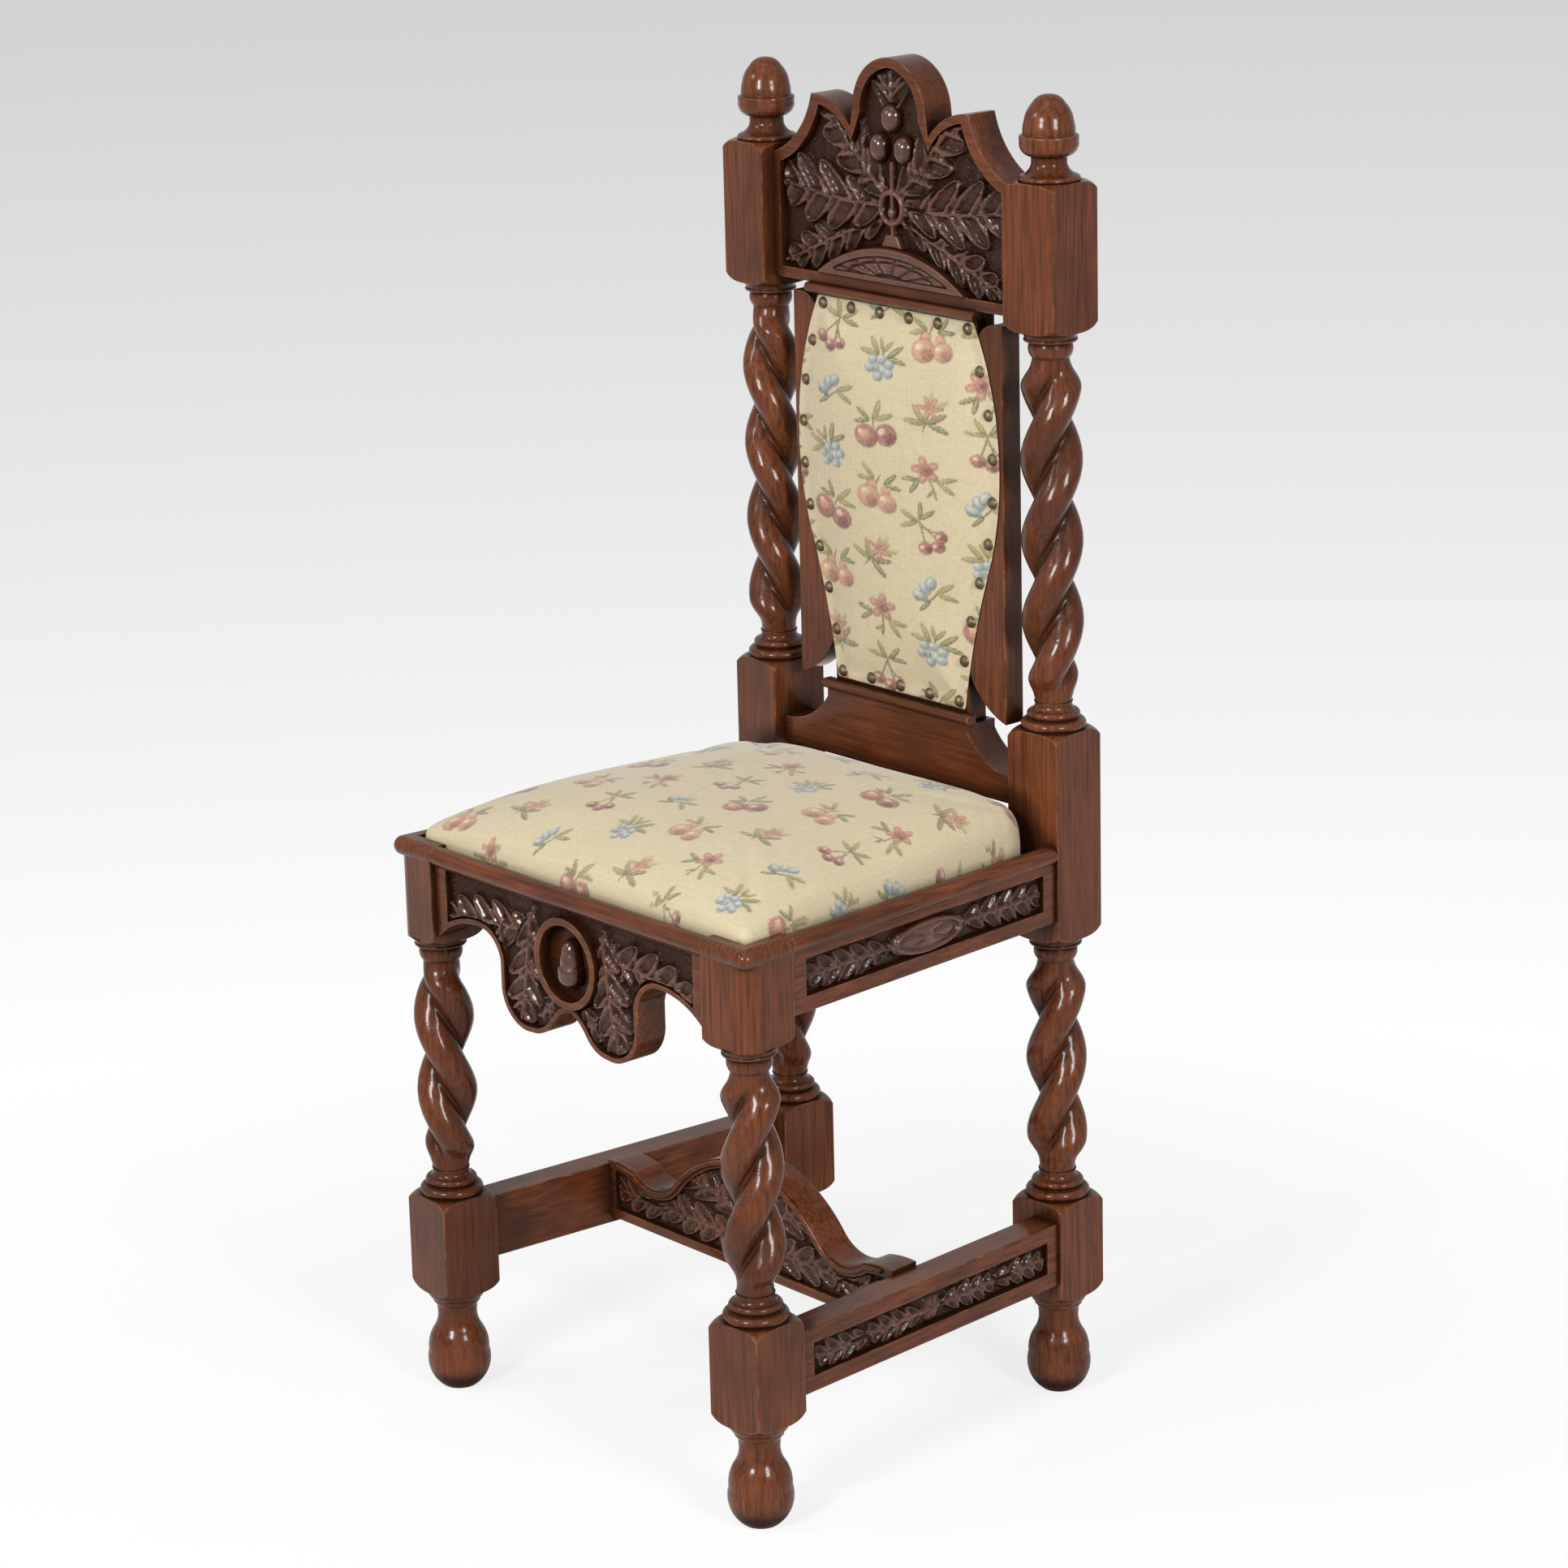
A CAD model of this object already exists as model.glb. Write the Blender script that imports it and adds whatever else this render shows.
import functools
import math

import bmesh
import bpy
import numpy as np
from mathutils import Matrix, Vector


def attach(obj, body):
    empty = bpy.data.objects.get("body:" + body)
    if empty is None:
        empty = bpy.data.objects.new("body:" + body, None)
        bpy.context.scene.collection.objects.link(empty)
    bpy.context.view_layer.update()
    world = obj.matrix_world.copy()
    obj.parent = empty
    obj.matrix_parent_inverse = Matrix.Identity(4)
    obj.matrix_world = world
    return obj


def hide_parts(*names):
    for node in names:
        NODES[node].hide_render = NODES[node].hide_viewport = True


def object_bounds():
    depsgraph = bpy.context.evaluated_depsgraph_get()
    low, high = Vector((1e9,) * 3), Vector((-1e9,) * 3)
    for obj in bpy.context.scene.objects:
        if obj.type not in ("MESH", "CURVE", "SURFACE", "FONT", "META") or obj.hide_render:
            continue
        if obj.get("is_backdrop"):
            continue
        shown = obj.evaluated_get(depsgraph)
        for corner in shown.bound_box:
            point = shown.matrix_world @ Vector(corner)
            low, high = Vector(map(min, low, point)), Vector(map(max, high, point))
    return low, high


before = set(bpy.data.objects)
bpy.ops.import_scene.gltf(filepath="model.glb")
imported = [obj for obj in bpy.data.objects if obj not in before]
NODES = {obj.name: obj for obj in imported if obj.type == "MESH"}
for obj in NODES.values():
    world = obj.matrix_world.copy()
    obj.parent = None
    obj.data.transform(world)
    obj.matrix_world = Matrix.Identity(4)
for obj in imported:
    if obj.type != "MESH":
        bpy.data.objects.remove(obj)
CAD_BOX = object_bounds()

bl_info = {
    "name": "Carved oak side chair",
    "version": (1, 0, 0),
    "blender": (4, 2, 0),
    "location": "View3D > Sidebar > Chair",
    "description": "Dresses the chair's frame: carving, waxed oak, nailed back, drop-in seat and studio",
    "category": "Object",
}

MM = 0.001


# Sizes and colours


def length(name, description, default):
    """Length that the panel shows."""
    return bpy.props.FloatProperty(name=name, description=description, default=default, unit="LENGTH")


def tint(name, description, default):
    """Colour that the panel shows."""
    return bpy.props.FloatVectorProperty(name=name, description=description, default=default, size=3,
                                         subtype="COLOR")


class CHAIR_PG_carving(bpy.types.PropertyGroup):
    """Sizes of the carved reliefs."""
    crest_relief: length("Crest relief", "Height of the crest's leaves above their ground", 7.4 * MM)
    rail_relief: length("Rail relief", "Height of the leaves on the seat rails and stretchers", 4.2 * MM)
    grid_step: length("Grid step", "Spacing of the points on a carved surface", 0.85 * MM)


class CHAIR_PG_upholstery(bpy.types.PropertyGroup):
    """Sizes and colours of the padded pieces."""
    seat_crown: length("Seat crown", "Rise of the seat above its edge before it swells", 39 * MM)
    back_crown: length("Back crown", "Rise of the back panel before it swells", 7 * MM)
    swell_limit: length("Swell limit", "Furthest that a point of the padding moves", 7 * MM)
    cloth: tint("Cloth", "Ground colour of the fabric", (0.53, 0.447, 0.288))


class CHAIR_PG_wood(bpy.types.PropertyGroup):
    """Colours of the oak."""
    dark: tint("Pores", "Colour in the pores and the carved grounds", (0.016, 0.0055, 0.003))
    middle: tint("Stain", "Colour of the stained wood", (0.126, 0.035, 0.012))
    worn: tint("Worn edge", "Colour of rubbed arrises", (0.31, 0.125, 0.048))


class CHAIR_PG_settings(bpy.types.PropertyGroup):
    """All sizes and colours of the chair's dressing."""
    carving: bpy.props.PointerProperty(type=CHAIR_PG_carving)
    upholstery: bpy.props.PointerProperty(type=CHAIR_PG_upholstery)
    wood: bpy.props.PointerProperty(type=CHAIR_PG_wood)


def settings():
    """The scene's sizes and colours."""
    return bpy.context.scene.chair_dressing


# Plan of the frame, in metres, as in the part

SPLAY = math.atan2(26, 349)
FRONT_AXIS = np.array([0.190, -0.1745])
CREST_FACE = 0.1585
CREST_GROUND = CREST_FACE + 0.008
APRON_FACE = -0.1955
APRON_GROUND = APRON_FACE + 0.005
CROSS_FACE = -0.020
CROSS_GROUND = CROSS_FACE + 0.004
SIDE_GROUND = 0.023 - 0.005
BOARD_FACE = 0.1625


# Meshes from arrays


def make_piece(name, points, quads, rings=(), smooth=True):
    """Mesh object from an array of points, an array of four-cornered faces and a few many-cornered faces."""
    points = np.asarray(points, np.float32).reshape(-1, 3)
    quads = np.asarray(quads, np.int32).reshape(-1, 4)
    rings = [np.asarray(ring, np.int32) for ring in rings]
    corners = np.concatenate([quads.ravel(), *rings])
    totals = np.concatenate([np.full(len(quads), 4), [len(ring) for ring in rings]]).astype(np.int32)
    mesh = bpy.data.meshes.new(name)
    mesh.vertices.add(len(points))
    mesh.vertices.foreach_set("co", points.ravel())
    mesh.loops.add(len(corners))
    mesh.loops.foreach_set("vertex_index", corners)
    mesh.polygons.add(len(totals))
    mesh.polygons.foreach_set("loop_start", np.concatenate([[0], np.cumsum(totals)[:-1]]).astype(np.int32))
    mesh.polygons.foreach_set("loop_total", totals)
    mesh.polygons.foreach_set("use_smooth", np.full(len(totals), smooth))
    mesh.update(calc_edges=True)
    mesh.validate()
    piece = bpy.data.objects.new(name, mesh)
    bpy.context.scene.collection.objects.link(piece)
    return piece


def grid_faces(rows, cols, flip=False):
    """Faces of a grid of rows by cols points, numbered row by row."""
    index = np.arange(rows * cols).reshape(rows, cols)
    quads = np.stack([index[:-1, :-1], index[:-1, 1:], index[1:, 1:], index[1:, :-1]], -1).reshape(-1, 4)
    return quads[:, ::-1] if flip else quads


def grid_rim(rows, cols):
    """Point numbers round the edge of a grid, anticlockwise from its first corner."""
    index = np.arange(rows * cols).reshape(rows, cols)
    return np.concatenate([index[0, :-1], index[:-1, -1], index[-1, :0:-1], index[:0:-1, 0]])


def tube_faces(rings, sides, flip=False):
    """Faces of closed rings of points, each joined to the next."""
    index = np.arange(rings * sides).reshape(rings, sides)
    after = np.roll(index, -1, axis=1)
    quads = np.stack([index[:-1], after[:-1], after[1:], index[1:]], -1).reshape(-1, 4)
    return quads[:, ::-1] if flip else quads


def points_of(mesh):
    """Points of a mesh, a row each."""
    points = np.empty(len(mesh.vertices) * 3, np.float32)
    mesh.vertices.foreach_get("co", points)
    return points.reshape(-1, 3)


def move_points(piece, points):
    """Puts the points of a piece in new places."""
    piece.data.vertices.foreach_set("co", points.ravel())
    piece.data.update()


def point_values(piece, name, values):
    """Number or colour kept at every point of a piece, for its material."""
    values = np.asarray(values, np.float32)
    kind = "FLOAT" if values.ndim == 1 else "FLOAT_COLOR"
    layer = piece.data.attributes.new(name, kind, "POINT")
    if kind == "FLOAT":
        layer.data.foreach_set("value", values)
    else:
        opaque = np.column_stack([values, np.ones(len(values))]).astype(np.float32)
        layer.data.foreach_set("color", opaque.ravel())


def point_numbers(piece, name):
    """Takes the numbers kept at the points of a piece off it again."""
    layer = piece.data.attributes[name]
    values = np.empty(len(layer.data), np.float32)
    layer.data.foreach_get("value", values)
    piece.data.attributes.remove(layer)
    return values


def bent_line(points, steps=24):
    """Line through (u, v, bulge) points: each stretch is an arc whose rise is bulge times its chord, to the
    right."""
    pieces = []
    for (u0, v0, _), (u1, v1, bulge) in zip(points, points[1:]):
        t = np.linspace(0, 1, steps, endpoint=False)
        if bulge:
            chord = np.array([u1 - u0, v1 - v0])
            far = np.hypot(*chord)
            half = 2 * math.atan(2 * abs(bulge))
            radius = far / 2 / math.sin(half)
            angle = (2 * t - 1) * half
            along = (np.sin(angle) * radius + far / 2) / far
            rise = (np.cos(angle) - math.cos(half)) * radius * np.sign(bulge) / far
            pieces.append(np.column_stack([u0 + along * chord[0] + rise * chord[1],
                                           v0 + along * chord[1] - rise * chord[0]]))
        else:
            pieces.append(np.column_stack([u0 + t * (u1 - u0), v0 + t * (v1 - v0)]))
    return np.concatenate(pieces + [np.array([points[-1][:2]], float)])


def drawn(points, steps=24):
    """Bent line whose points are given in millimetres."""
    return bent_line([(u * MM, v * MM, bulge) for u, v, bulge in points], steps)


def height_of(line, u):
    """Height of a line at the distances u from the middle, for a line that is symmetric about it."""
    order = np.argsort(line[:, 0], kind="stable")
    return np.interp(np.abs(u), line[order, 0], line[order, 1])


def turned(u, v, angle):
    """Lengths along and across a direction at that angle."""
    return u * math.cos(angle) + v * math.sin(angle), v * math.cos(angle) - u * math.sin(angle)


# Carving: leaves laid one over another on a ground, each cut clear of the one below

LOBE_SWEEP = 0.8


def leaf_relief(u, v, leaf):
    """Distance inside the edge of a lobed leaf, and its height. The leaf lies along a bent midrib; its half
    width is a long round times the lobes, 0.46 + 0.54 |sin|, taken along lines that sweep forward from the
    midrib. The height is a quarter round at the edge, less a hollow down each lobe and a crease between
    lobes, under a midrib that stands proud."""
    base_u, base_v, turn, long, wide, height, pairs, curl = leaf
    along, across = turned(u - base_u, v - base_v, turn)
    across = across - 0.5 * curl * along * np.abs(along) / long
    out = np.abs(across)
    swept = (along - LOBE_SWEEP * out) / long + 0.03 * np.sign(across)
    share = np.linspace(-0.1, 1.1, 481)
    wave = np.abs(np.sin(math.pi * pairs * share))
    body = np.sin(math.pi * np.clip(0.08 + 0.86 * share, 0, 1)) ** 0.6
    half = 0.5 * wide * body * (0.46 + 0.54 * wave ** 0.75) * (share > -0.05)
    slope = np.interp(swept, share, np.gradient(half, share)) / long
    inside = (np.interp(swept, share, half) - out) / np.hypot(slope, 1 + LOBE_SWEEP * slope)
    tip = 0.16 * wide * (1 - ((along / long - 0.9) / 0.16) ** 2) - out
    inside = np.maximum(inside, np.where(np.abs(along / long - 0.9) < 0.16, tip, -wide))
    roll = np.clip(inside / min(2.4 * MM, 0.085 * wide), 0, 1)
    rounded = dome(1 - roll)
    lobe = np.abs(np.sin(math.pi * pairs * swept))
    deep = edge_fade(inside - 0.8 * MM, 2.6 * MM)
    hollow = 0.64 * np.exp(-((1 - lobe) / 0.3) ** 2) * deep * edge_fade(out - 1.2 * MM, 2 * MM)
    crease = 0.4 * np.exp(-(lobe / 0.3) ** 2) * deep
    way = np.clip(along / long, 0, 1)
    rise = height * rounded * (1 - hollow - crease) * (0.78 + 0.22 * np.sin(math.pi * way))
    thick = (1.9 - 0.9 * way) * MM
    rib = height * 1.04 * dome(out / thick) * (along > 0) * (along < 0.94 * long)
    return np.maximum(inside, np.where(rib > 0, thick - out, -wide)), np.maximum(rise, rib)


def lay_leaves(u, v, leaves):
    """Relief of leaves laid in turn: each presses down what lies under its edge, then stands over it."""
    height = np.zeros_like(u)
    for leaf in leaves:
        base_u, base_v, turn, long, wide = leaf[:5]
        middle_u, middle_v = base_u + 0.5 * long * math.cos(turn), base_v + 0.5 * long * math.sin(turn)
        near = np.hypot(u - middle_u, v - middle_v) < 0.62 * long + 0.6 * wide
        if not near.any():
            continue
        inside, rise = leaf_relief(u[near], v[near], leaf)
        under = height[near] * (1 - 0.9 * edge_fade(inside + 2.2 * MM, 2.2 * MM))
        height[near] = np.maximum(under, rise)
    return height * hand_cut(u, v)


def oak_leaves(rows, tall):
    """Lobed leaves from rows of numbers, in millimetres and degrees: where the foot is, the way it points,
    length, width, height as a share of the relief, pairs of lobes and bend."""
    return [(u * MM, v * MM, math.radians(turn), long * MM, wide * MM, share * tall, pairs,
             math.radians(curl)) for u, v, turn, long, wide, share, pairs, curl in rows]


def both_hands(leaves, middle=0.0):
    """Leaves and their mirror images about the line u = middle."""
    mirrored = [(2 * middle - leaf[0], leaf[1], math.pi - leaf[2], *leaf[3:7], -leaf[7]) for leaf in leaves]
    return [leaf for pair in zip(leaves, mirrored) for leaf in pair]


def spray(u, v, tall, rows, upright=(), middle=0.0):
    """Relief of leaves on both hands of a line, and of the upright ones that stand on it."""
    return lay_leaves(u, v, both_hands(oak_leaves(rows, tall), middle) + oak_leaves(upright, tall))


def dome(share):
    """Half-round: the root of 1 - share squared, and nothing beyond 1."""
    return np.sqrt(np.clip(1 - share ** 2, 0, 1))


def edge_fade(distance, width):
    """Rise from 0 at an edge to 1 at a width from it."""
    share = np.clip(distance / width, 0, 1)
    return share * share * (3 - 2 * share)


def crossed_waves(u, v, first, second):
    """Product of two waves that cross, each bent by a slower one: its pace, the bend and the bend's pace."""
    u, v = u / MM, v / MM
    (pace, bend, slow), (pace_v, bend_v, slow_v) = first, second
    return np.sin(u * pace + bend * np.sin(v * slow)) * np.sin(v * pace_v + bend_v * np.sin(u * slow_v))


def hand_cut(u, v):
    """Uneven cutting of the leaves: a share that sways near 1."""
    return 1 + 0.1 * crossed_waves(u, v, (0.62, 1.9, 0.23), (0.54, 1.6, 0.29))


def chopped_ground(u, v):
    """Tooled ground of small pits."""
    return 0.75 * MM * crossed_waves(u, v, (1.5, 1.3, 0.7), (1.7, 1.4, 0.6))


def on_ground(u, v, height, least):
    """Relief with the chopped ground wherever nothing stands above the least height."""
    return np.where(height > least, height, chopped_ground(u, v))


def from_rim(u, v):
    """Distance of each point of an oblong grid from the nearest of its edges."""
    return np.minimum.reduce([u - u.min(), u.max() - u, v - v.min(), v.max() - v])


def relief_piece(name, u, v, height, place, back, flip=False):
    """Closed slab whose front is the grid (u, v) raised by height and whose flat back lies at height back."""
    rows, cols = u.shape
    front = place(u, v, height + 0.5 * MM).reshape(-1, 3)
    rim = grid_rim(rows, cols)
    rear = place(u.ravel()[rim], v.ravel()[rim], np.full(len(rim), back))
    behind = rows * cols + np.arange(len(rim))
    skirt = np.stack([rim, behind, np.roll(behind, -1), np.roll(rim, -1)], -1)
    if flip:
        skirt = skirt[:, ::-1]
    quads = np.concatenate([grid_faces(rows, cols, flip), skirt])
    cap = behind if flip else behind[::-1]
    piece = make_piece(name, np.concatenate([front, rear]), quads, [cap])
    top = max(float(height.max()), 1e-6)
    share = np.clip(height.ravel() / top, 0, 1)
    point_values(piece, "relief", np.concatenate([share, np.zeros(len(rim))]))
    return piece


def spaced(low, high, step):
    """Evenly spaced values from low to high, about a step apart."""
    return np.linspace(low, high, max(4, int(round((high - low) / step)) + 1))


def between(half, low, high, closer=1.0):
    """Grid over a field from -half to half, whose rows divide the height from low(u) to high(u); a share in
    closer sets the rows nearer together than the columns."""
    step = settings().carving.grid_step
    columns = spaced(-half, half, step)
    bottom, top = low(columns), high(columns)
    rows = max(6, int(round(float(np.max(top - bottom)) / (closer * step))) + 1)
    share = np.linspace(0, 1, rows)[:, None]
    return np.broadcast_to(columns, (rows, len(columns))).copy(), bottom + (top - bottom) * share


# Materials


def feed(tree, socket, value):
    """Links a socket to another one, or fills it with a number or a colour."""
    if isinstance(value, bpy.types.NodeSocket):
        tree.links.new(value, socket)
    else:
        socket.default_value = value


def add_node(tree, kind, inputs=(), **options):
    """New shader node with its options set and its inputs linked or filled."""
    node = tree.nodes.new("ShaderNode" + kind)
    for key, value in options.items():
        setattr(node, key, value)
    for key, value in dict(inputs).items():
        feed(tree, node.inputs[key], value)
    return node


def full_colour(colour):
    """Colour with its cover added; a socket stays as it is."""
    return colour if isinstance(colour, bpy.types.NodeSocket) else (*colour, 1)


def along_grain(grain, share):
    """Scale of a noise that draws it out along the grain."""
    return [share if axis == grain else 1.0 for axis in "XYZ"]


class Surface:
    """Node material in the making: a shader, its coordinates and short calls for the nodes it needs."""

    def __init__(self, name):
        self.material = bpy.data.materials.new(name)
        self.material.use_nodes = True
        self.tree = self.material.node_tree
        self.shader = self.tree.nodes["Principled BSDF"]
        self.coords = self.node("TexCoord").outputs["Object"]

    def node(self, kind, inputs=(), **options):
        """New node of this material."""
        return add_node(self.tree, kind, inputs, **options)

    def noise(self, scale, stretch=(1, 1, 1), detail=4.0, rough=0.55, twist=0.0):
        """Noise over the object's coordinates, stretched along an axis."""
        moved = self.node("Mapping", {"Vector": self.coords, "Scale": stretch})
        inputs = {"Vector": moved.outputs[0], "Scale": scale, "Detail": detail, "Roughness": rough,
                  "Distortion": twist}
        return self.node("TexNoise", inputs).outputs[0]

    def ramp(self, value, *stops):
        """Colour ramp through (place, colour) stops."""
        node = self.node("ValToRGB", {"Fac": value})
        ramp = node.color_ramp
        while len(ramp.elements) < len(stops):
            ramp.elements.new(1.0)
        for element, (place, colour) in zip(ramp.elements, stops):
            element.position = place
            element.color = (*colour, 1)
        return node.outputs[0]

    def span(self, value, low, high, to_low=0.0, to_high=1.0):
        """Value moved from one range to another, smoothly and kept inside it."""
        inputs = {"Value": value, "From Min": low, "From Max": high, "To Min": to_low, "To Max": to_high}
        return self.node("MapRange", inputs, interpolation_type="SMOOTHSTEP").outputs[0]

    def calc(self, first, second, how="MULTIPLY"):
        """Product of two values, or what the named operation makes of them."""
        return self.node("Math", {0: first, 1: second}, operation=how).outputs[0]

    def mix(self, share, first, second, how="MIX"):
        """Mix of two colours."""
        inputs = {"Factor": share, 6: full_colour(first), 7: full_colour(second)}
        return self.node("Mix", inputs, data_type="RGBA", blend_type=how).outputs[2]

    def set(self, **inputs):
        """Sockets of the shader, linked or filled, and the material that is made."""
        for key, value in inputs.items():
            feed(self.tree, self.shader.inputs[key.replace("_", " ")], value)
        return self.material

    def bump(self, height, strength, distance, normal=None):
        """Bump from a height, over a rounded normal where one is given."""
        inputs = {"Height": height, "Strength": strength, "Distance": distance}
        if normal is not None:
            inputs["Normal"] = normal
        return self.node("Bump", inputs).outputs[0]


def waxed_oak(name, grain, carving=False, tone=1.0, shine=1.0):
    """Dark stained oak: long fibres and dark pores along the grain, rubbed arrises, dirt in the corners and
    a waxed gloss; on carving the ground is darker than the tops. The tone darkens the stain, the shine
    lifts the gloss."""
    wood = settings().wood
    look = Surface(name)
    stain = tuple(tone * c for c in wood.middle)
    along = along_grain(grain, 0.045)
    fibre = look.noise(330, along, 5, 0.58, 0.3)
    pore = look.span(look.noise(820, along, 3, 0.55), 0.56, 0.68)
    cloud = look.noise(9, (1, 1, 1), 3, 0.5)
    bright = tuple(1.5 * c for c in stain)
    deep = tuple(0.42 * c for c in stain)
    colour = look.ramp(fibre, (0.3, deep), (0.5, stain), (0.74, bright))
    colour = look.mix(look.span(cloud, 0.4, 0.68, 0.0, 0.6), colour, deep)
    rounded = look.node("Bevel", {"Radius": 2.6 * MM}, samples=6).outputs[0]
    facing = look.node("NewGeometry").outputs["Normal"]
    dot = look.node("VectorMath", {0: rounded, 1: facing}, operation="DOT_PRODUCT").outputs["Value"]
    shut = look.node("AmbientOcclusion", {"Distance": 22 * MM}, samples=6).outputs["AO"]
    rub = look.calc(look.span(dot, 0.985, 0.86), look.span(look.noise(45, (1, 1, 1), 4, 0.7), 0.42, 0.66))
    rub = look.calc(rub, look.span(shut, 0.55, 0.85))
    colour = look.mix(rub, colour, tuple(tone * c for c in wood.worn))
    colour = look.mix(look.calc(pore, 0.5), colour, tuple(wood.dark))
    if carving:
        level = look.node("Attribute", attribute_name="relief").outputs["Fac"]
        colour = look.mix(look.span(level, 0.6, 0.15, 0.0, 0.95), colour, tuple(wood.dark))
        colour = look.mix(look.span(level, 0.45, 0.85, 0.7, 0.15), colour, deep)
    colour = look.mix(look.span(shut, 0.96, 0.64, 0.0, 0.86), colour, tuple(wood.dark))
    polish = look.span(shut, 0.5, 0.92, 0.15, 1.0)
    height = look.calc(fibre, look.calc(pore, -0.8), "ADD")
    gloss, coat, smooth, ripple = 0.14 * shine, 0.2 * shine, (0.15, 0.27), 0.13
    if carving:
        polish = look.calc(polish, look.span(level, 0.2, 0.6, 0.5, 1.0))
        height = look.calc(height, look.calc(look.noise(240, (1, 1, 1), 2, 0.5), 5.0), "ADD")
        gloss, coat, smooth, ripple = 0.3, 0.54, (0.15, 0.26), 0.38
    rough = look.calc(look.span(fibre, 0.3, 0.7, *smooth), look.calc(pore, 0.2), "ADD")
    return look.set(Base_Color=colour, Roughness=rough, Normal=look.bump(height, ripple, 0.5 * MM, rounded),
                    Specular_IOR_Level=look.calc(polish, gloss), Coat_Weight=look.calc(polish, coat),
                    Coat_Roughness=0.05)


def raw_beech(name, grain):
    """Unfinished pale frame wood with fine flecks along the grain and grey handling marks."""
    look = Surface(name)
    fibre = look.noise(300, along_grain(grain, 0.07), 5, 0.6)
    colour = look.ramp(fibre, (0.3, (0.24, 0.13, 0.06)), (0.55, (0.38, 0.23, 0.115)),
                       (0.75, (0.47, 0.31, 0.17)))
    colour = look.mix(look.span(look.noise(14), 0.45, 0.75, 0, 0.45), colour, (0.2, 0.12, 0.065))
    return look.set(Base_Color=colour, Roughness=look.span(fibre, 0.3, 0.7, 0.55, 0.75),
                    Normal=look.bump(fibre, 0.2, 0.4 * MM))


def sprigged_cloth(name, second):
    """Woven upholstery cloth: the painted sprigs under a fine rib of warp and weft, with a soft sheen. The
    second axis of its threads is Y on the seat and Z on the back."""
    look = Surface(name)
    painted = look.node("Attribute", attribute_name="sprig").outputs["Color"]
    warp = look.noise(900, (1, 0.05, 1) if second == "Y" else (1, 1, 0.05), 2, 0.5)
    weft = look.noise(760, (0.05, 1, 1), 2, 0.5)
    thread = look.calc(warp, weft, "ADD")
    slub = look.noise(420, (1, 1, 1), 3, 0.6)
    colour = look.mix(look.span(thread, 1.12, 0.84, 0.0, 0.16), painted, (0.5, 0.42, 0.28), "MULTIPLY")
    colour = look.mix(look.span(slub, 0.4, 0.7, 0.0, 0.2), colour, (0.7, 0.61, 0.42))
    shut = look.node("AmbientOcclusion", {"Distance": 12 * MM}, samples=4).outputs["AO"]
    colour = look.mix(look.span(shut, 0.8, 0.3, 0.0, 0.55), colour, (0.22, 0.15, 0.07), "MULTIPLY")
    height = look.calc(thread, look.calc(slub, 0.5), "ADD")
    return look.set(Base_Color=colour, Roughness=look.span(slub, 0.3, 0.7, 0.78, 0.92), Sheen_Weight=0.25,
                    Sheen_Roughness=0.5, Normal=look.bump(height, 0.3, 0.3 * MM))


def jute(name):
    """Coarse brown hemp weave of the webbing and the base cloth."""
    look = Surface(name)
    weave = {"Vector": look.coords, "Scale": 150.0, "Distortion": 1.5, "Detail": 2.0}
    waves = [look.node("TexWave", weave, bands_direction=axis).outputs["Fac"] for axis in "XY"]
    thread = look.calc(*waves)
    tone = look.noise(160, (1, 1, 1), 4)
    colour = look.ramp(tone, (0.3, (0.13, 0.085, 0.04)), (0.7, (0.34, 0.25, 0.13)))
    colour = look.mix(look.span(thread, 0.0, 0.5, 0.6, 0.0), colour, (0.06, 0.04, 0.018))
    return look.set(Base_Color=colour, Roughness=look.span(tone, 0.3, 0.7, 0.8, 0.95),
                    Normal=look.bump(thread, 0.5, 0.5 * MM))


def aged_brass(name):
    """Brass nail heads, browned by age and rubbed bright in spots."""
    look = Surface(name)
    spots = look.noise(330, (1, 1, 1), 4, 0.6)
    colour = look.ramp(spots, (0.3, (0.06, 0.04, 0.025)), (0.55, (0.14, 0.1, 0.06)),
                       (0.75, (0.26, 0.19, 0.11)))
    return look.set(Base_Color=colour, Metallic=0.7, Roughness=look.span(spots, 0.3, 0.7, 0.55, 0.36),
                    Normal=look.bump(spots, 0.2, 0.3 * MM))


def dull_steel(name):
    """Screws and tacks of grey steel with rust freckles."""
    look = Surface(name)
    rust = look.span(look.noise(500, (1, 1, 1), 4, 0.7), 0.5, 0.68)
    colour = look.mix(rust, (0.2, 0.19, 0.185), (0.12, 0.05, 0.02))
    return look.set(Base_Color=colour, Metallic=0.8, Roughness=look.span(rust, 0, 1, 0.38, 0.75),
                    Normal=look.bump(rust, 0.2, 0.2 * MM))


def dress(piece, material, body=None):
    """Gives a piece its only material and, for a new piece, the body it rides on and the record's slot."""
    piece.data.materials.clear()
    piece.data.materials.append(material)
    if body:
        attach(piece, body)
    return piece


# Carved pieces: their leaves, as rows for oak_leaves, and the sunk fields that they fill

CREST_LEAVES = ((24, 982, 52, 34, 20, 0.65, 2, 10), (12, 951, -19, 116, 38, 0.9, 5, -6),
                (10, 962, -2, 116, 58, 1.0, 4, 12), (6, 970, 38, 108, 50, 1.0, 4, 18))
CREST_UPRIGHT = ((0, 1030, 90, 42, 50, 0.85, 2, 0),)
APRON_LEAVES = ((14, 388, -58, 34, 24, 0.8, 2, 24), (34, 430, 2, 118, 44, 1.0, 5, -14),
                (44, 448, -84, 94, 46, 1.1, 4, 8))
RAIL_LEAVES = ((215, 439, 0, 92, 33, 1.0, 5, 0),)
STRETCHER_LEAVES = ((245, 129.5, 0, 60, 28, 1.0, 4, 0), (185, 129.5, 0, 60, 28, 1.0, 4, 0))
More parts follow.
